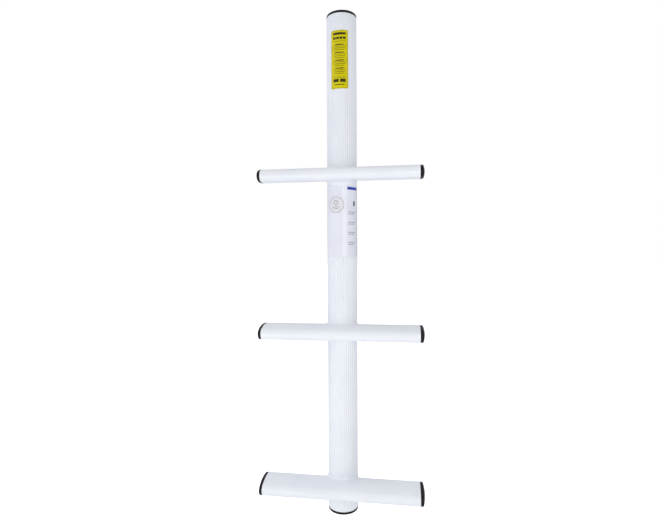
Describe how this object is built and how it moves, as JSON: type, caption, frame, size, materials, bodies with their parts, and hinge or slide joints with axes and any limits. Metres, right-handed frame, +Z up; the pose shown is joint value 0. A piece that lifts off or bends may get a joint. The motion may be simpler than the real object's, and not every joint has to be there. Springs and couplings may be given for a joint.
{
  "type": "dive ladder",
  "caption": "Boat dive ladder with one round post and flat-oval rungs welded across its front, black plugs in the tube ends, a decal and a film sleeve on the post.",
  "frame": {"origin": "centre of the flat top face of the plug in the post's upper end, on the post's axis; the ladder hangs down from it", "axes": "+X along the rungs, to the right for someone who faces the side a diver climbs; -Y towards that diver, the way the rungs stand in front of the post; +Z up along the post"},
  "size_m": [0.3092, 0.0897, 0.9474],
  "materials": {
    "white_powder_coat": "gloss",
    "black_plug_plastic": "satin",
    "yellow_decal": "satin",
    "sleeve_film": "gloss",
    "seal_vinyl": "satin"
  },
  "bodies": {
    "root": {"decal": "yellow_decal", "label_sleeve": "sleeve_film", "post_plug_lower": "black_plug_plastic", "post_plug_upper": "black_plug_plastic", "post_tube": "white_powder_coat", "rung_1": "white_powder_coat", "rung_1_plug_left": "black_plug_plastic", "rung_1_plug_right": "black_plug_plastic", "rung_1_weld_left": "white_powder_coat", "rung_1_weld_lower": "white_powder_coat", "rung_1_weld_right": "white_powder_coat", "rung_1_weld_upper": "white_powder_coat", "rung_2": "white_powder_coat", "rung_2_plug_left": "black_plug_plastic", "rung_2_plug_right": "black_plug_plastic", "rung_2_weld_left": "white_powder_coat", "rung_2_weld_lower": "white_powder_coat", "rung_2_weld_right": "white_powder_coat", "rung_2_weld_upper": "white_powder_coat", "rung_3": "white_powder_coat", "rung_3_plug_left": "black_plug_plastic", "rung_3_plug_right": "black_plug_plastic", "rung_3_weld_left": "white_powder_coat", "rung_3_weld_lower": "white_powder_coat", "rung_3_weld_right": "white_powder_coat", "rung_3_weld_upper": "white_powder_coat", "sleeve_seal": "seal_vinyl"}
  },
  "joints": []
}
